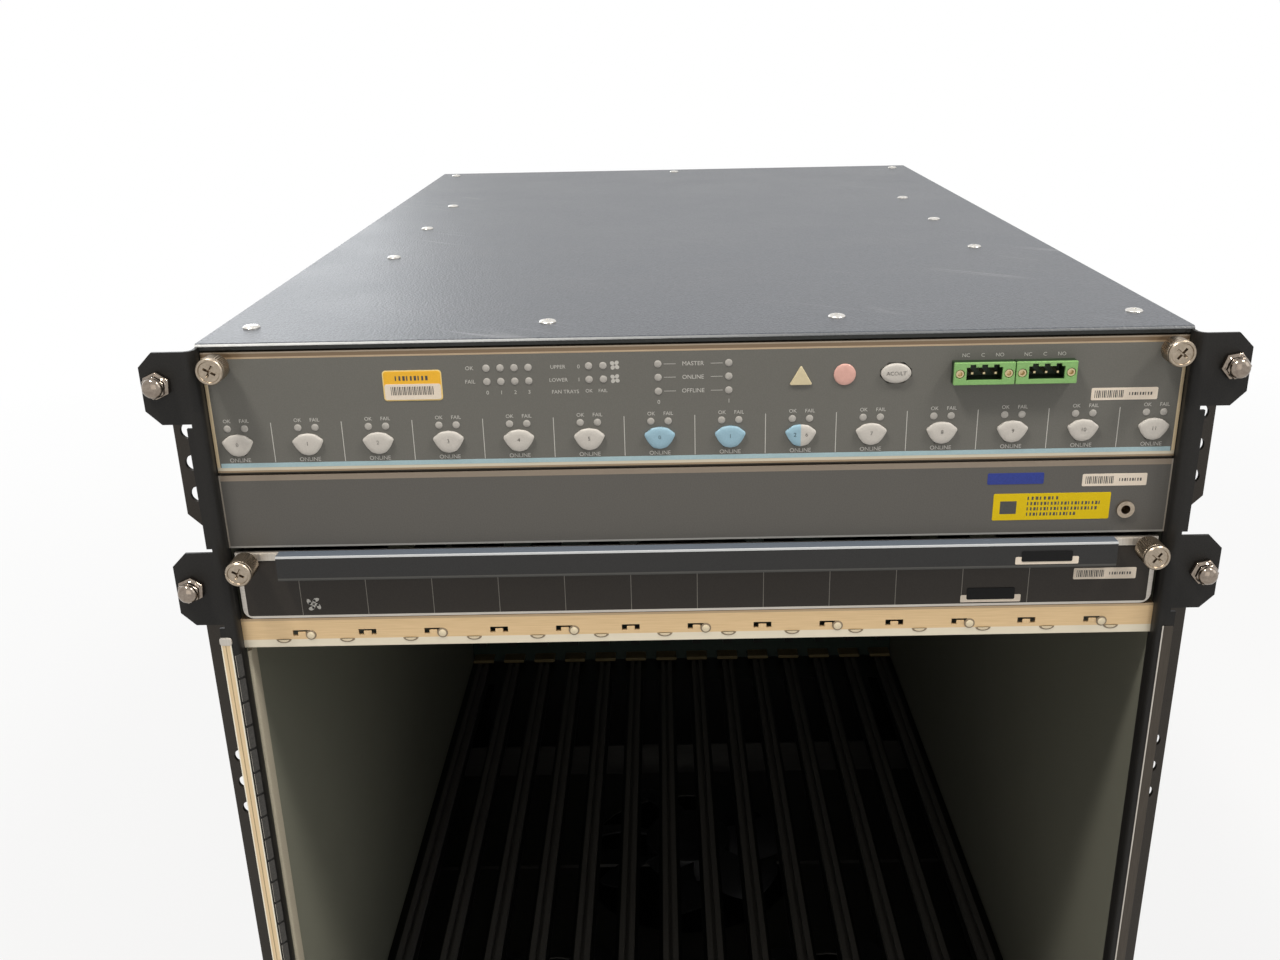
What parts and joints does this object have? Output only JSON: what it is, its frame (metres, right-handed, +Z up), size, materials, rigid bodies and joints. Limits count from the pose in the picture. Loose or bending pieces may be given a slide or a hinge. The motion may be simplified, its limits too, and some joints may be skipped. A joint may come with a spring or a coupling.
{
  "type": "router chassis",
  "caption": "Tall rack-mounted modular router chassis with an empty card cage, a button display panel, pull-out fan trays and plug-in rear power supplies.",
  "frame": {"origin": "middle of the base pan's underside", "axes": "+Z up, front towards -Y, +X to the right as seen from the front"},
  "size_m": [0.487, 0.721, 0.7064],
  "materials": {
    "cover_paint": "satin textured paint",
    "black_paint": "satin paint",
    "bright_studs": "polished",
    "nickel": "nickel plate",
    "gold_steel": "yellow passivated",
    "guide_plastic": "moulded",
    "board": "laminate",
    "connector_plastic": "moulded",
    "panel_overlay": "satin overlay",
    "panel_paint": "satin paint",
    "lamp_lens": "clear moulded",
    "green_plastic": "moulded",
    "grey_button": "moulded",
    "blue_button": "moulded",
    "tray_paint": "satin paint",
    "tray_steel": "zinc plate",
    "fan_plastic": "moulded",
    "supply_metal": "satin"
  },
  "bodies": {
    "chassis": {"top_cover": "cover_paint", "cover_screws": "nickel", "left_side_panel": "black_paint", "right_side_panel": "black_paint", "left_rack_flange": "black_paint", "right_rack_flange": "black_paint", "ball_studs": "bright_studs", "base_pan": "black_paint", "rear_panel": "black_paint", "power_deck": "black_paint", "cage_roof": "gold_steel", "cage_floor": "gold_steel", "card_guides": "guide_plastic", "midplane": "board", "midplane_connectors": "connector_plastic", "display_frame": "gold_steel", "display_panel": "panel_overlay", "display_board": "board", "alarm_lamps": "lamp_lens", "relay_sockets": "green_plastic", "display_screws": "nickel", "ground_panel": "panel_paint", "ground_jack": "nickel", "intake_grille": "black_paint"},
    "slot_button_1": {"slot_button_1": "grey_button"},
    "slot_button_2": {"slot_button_2": "grey_button"},
    "slot_button_3": {"slot_button_3": "grey_button"},
    "slot_button_4": {"slot_button_4": "grey_button"},
    "slot_button_5": {"slot_button_5": "grey_button"},
    "slot_button_6": {"slot_button_6": "grey_button"},
    "slot_button_7": {"slot_button_7": "blue_button"},
    "slot_button_8": {"slot_button_8": "blue_button"},
    "slot_button_9": {"slot_button_9": "grey_button"},
    "slot_button_10": {"slot_button_10": "grey_button"},
    "slot_button_11": {"slot_button_11": "grey_button"},
    "slot_button_12": {"slot_button_12": "grey_button"},
    "slot_button_13": {"slot_button_13": "grey_button"},
    "slot_button_14": {"slot_button_14": "grey_button"},
    "lamp_test_button": {"lamp_test_button": "grey_button"},
    "upper_tray": {"upper_tray_front": "tray_paint", "upper_fan_tray": "tray_steel", "upper_tray_screws": "nickel"},
    "upper_fan_1": {"upper_fan_rotor_1": "fan_plastic"},
    "upper_fan_2": {"upper_fan_rotor_2": "fan_plastic"},
    "upper_fan_3": {"upper_fan_rotor_3": "fan_plastic"},
    "lower_tray": {"lower_tray_front": "tray_paint", "lower_fan_tray": "tray_steel", "lower_tray_screws": "nickel"},
    "lower_fan_1": {"lower_fan_rotor_1": "fan_plastic"},
    "lower_fan_2": {"lower_fan_rotor_2": "fan_plastic"},
    "lower_fan_3": {"lower_fan_rotor_3": "fan_plastic"},
    "power_supply_1": {"power_supply_1": "supply_metal"},
    "power_supply_2": {"power_supply_2": "supply_metal"},
    "power_supply_3": {"power_supply_3": "supply_metal"},
    "power_supply_4": {"power_supply_4": "supply_metal"}
  },
  "joints": [
    {"name": "slot_button_1_press", "type": "slide", "parent": "chassis", "child": "slot_button_1", "axis": [0, 1, 0], "range_m": [0, 0.001], "stiffness_N_per_m": 500},
    {"name": "slot_button_2_press", "type": "slide", "parent": "chassis", "child": "slot_button_2", "axis": [0, 1, 0], "range_m": [0, 0.001], "stiffness_N_per_m": 500},
    {"name": "slot_button_3_press", "type": "slide", "parent": "chassis", "child": "slot_button_3", "axis": [0, 1, 0], "range_m": [0, 0.001], "stiffness_N_per_m": 500},
    {"name": "slot_button_4_press", "type": "slide", "parent": "chassis", "child": "slot_button_4", "axis": [0, 1, 0], "range_m": [0, 0.001], "stiffness_N_per_m": 500},
    {"name": "slot_button_5_press", "type": "slide", "parent": "chassis", "child": "slot_button_5", "axis": [0, 1, 0], "range_m": [0, 0.001], "stiffness_N_per_m": 500},
    {"name": "slot_button_6_press", "type": "slide", "parent": "chassis", "child": "slot_button_6", "axis": [0, 1, 0], "range_m": [0, 0.001], "stiffness_N_per_m": 500},
    {"name": "slot_button_7_press", "type": "slide", "parent": "chassis", "child": "slot_button_7", "axis": [0, 1, 0], "range_m": [0, 0.001], "stiffness_N_per_m": 500},
    {"name": "slot_button_8_press", "type": "slide", "parent": "chassis", "child": "slot_button_8", "axis": [0, 1, 0], "range_m": [0, 0.001], "stiffness_N_per_m": 500},
    {"name": "slot_button_9_press", "type": "slide", "parent": "chassis", "child": "slot_button_9", "axis": [0, 1, 0], "range_m": [0, 0.001], "stiffness_N_per_m": 500},
    {"name": "slot_button_10_press", "type": "slide", "parent": "chassis", "child": "slot_button_10", "axis": [0, 1, 0], "range_m": [0, 0.001], "stiffness_N_per_m": 500},
    {"name": "slot_button_11_press", "type": "slide", "parent": "chassis", "child": "slot_button_11", "axis": [0, 1, 0], "range_m": [0, 0.001], "stiffness_N_per_m": 500},
    {"name": "slot_button_12_press", "type": "slide", "parent": "chassis", "child": "slot_button_12", "axis": [0, 1, 0], "range_m": [0, 0.001], "stiffness_N_per_m": 500},
    {"name": "slot_button_13_press", "type": "slide", "parent": "chassis", "child": "slot_button_13", "axis": [0, 1, 0], "range_m": [0, 0.001], "stiffness_N_per_m": 500},
    {"name": "slot_button_14_press", "type": "slide", "parent": "chassis", "child": "slot_button_14", "axis": [0, 1, 0], "range_m": [0, 0.001], "stiffness_N_per_m": 500},
    {"name": "lamp_test_press", "type": "slide", "parent": "chassis", "child": "lamp_test_button", "axis": [0, 1, 0], "range_m": [0, 0.001], "stiffness_N_per_m": 500},
    {"name": "upper_tray_slide", "type": "slide", "parent": "chassis", "child": "upper_tray", "axis": [0, -1, 0], "range_m": [0, 0.4]},
    {"name": "upper_fan_1_spin", "type": "hinge", "parent": "upper_tray", "child": "upper_fan_1", "pos_m": [-0.104, -0.204, 0.5858], "axis": [0, 0, 1], "continuous": true},
    {"name": "upper_fan_2_spin", "type": "hinge", "parent": "upper_tray", "child": "upper_fan_2", "pos_m": [0.104, -0.204, 0.5858], "axis": [0, 0, 1], "continuous": true},
    {"name": "upper_fan_3_spin", "type": "hinge", "parent": "upper_tray", "child": "upper_fan_3", "pos_m": [0, 0.004, 0.5858], "axis": [0, 0, 1], "continuous": true},
    {"name": "lower_tray_slide", "type": "slide", "parent": "chassis", "child": "lower_tray", "axis": [0, -1, 0], "range_m": [0, 0.4]},
    {"name": "lower_fan_1_spin", "type": "hinge", "parent": "lower_tray", "child": "lower_fan_1", "pos_m": [-0.104, -0.204, 0.1761], "axis": [0, 0, 1], "continuous": true},
    {"name": "lower_fan_2_spin", "type": "hinge", "parent": "lower_tray", "child": "lower_fan_2", "pos_m": [0.104, -0.204, 0.1761], "axis": [0, 0, 1], "continuous": true},
    {"name": "lower_fan_3_spin", "type": "hinge", "parent": "lower_tray", "child": "lower_fan_3", "pos_m": [0, 0.004, 0.1761], "axis": [0, 0, 1], "continuous": true},
    {"name": "power_supply_1_slide", "type": "slide", "parent": "chassis", "child": "power_supply_1", "axis": [0, 1, 0], "range_m": [0, 0.25]},
    {"name": "power_supply_2_slide", "type": "slide", "parent": "chassis", "child": "power_supply_2", "axis": [0, 1, 0], "range_m": [0, 0.25]},
    {"name": "power_supply_3_slide", "type": "slide", "parent": "chassis", "child": "power_supply_3", "axis": [0, 1, 0], "range_m": [0, 0.25]},
    {"name": "power_supply_4_slide", "type": "slide", "parent": "chassis", "child": "power_supply_4", "axis": [0, 1, 0], "range_m": [0, 0.25]}
  ]
}
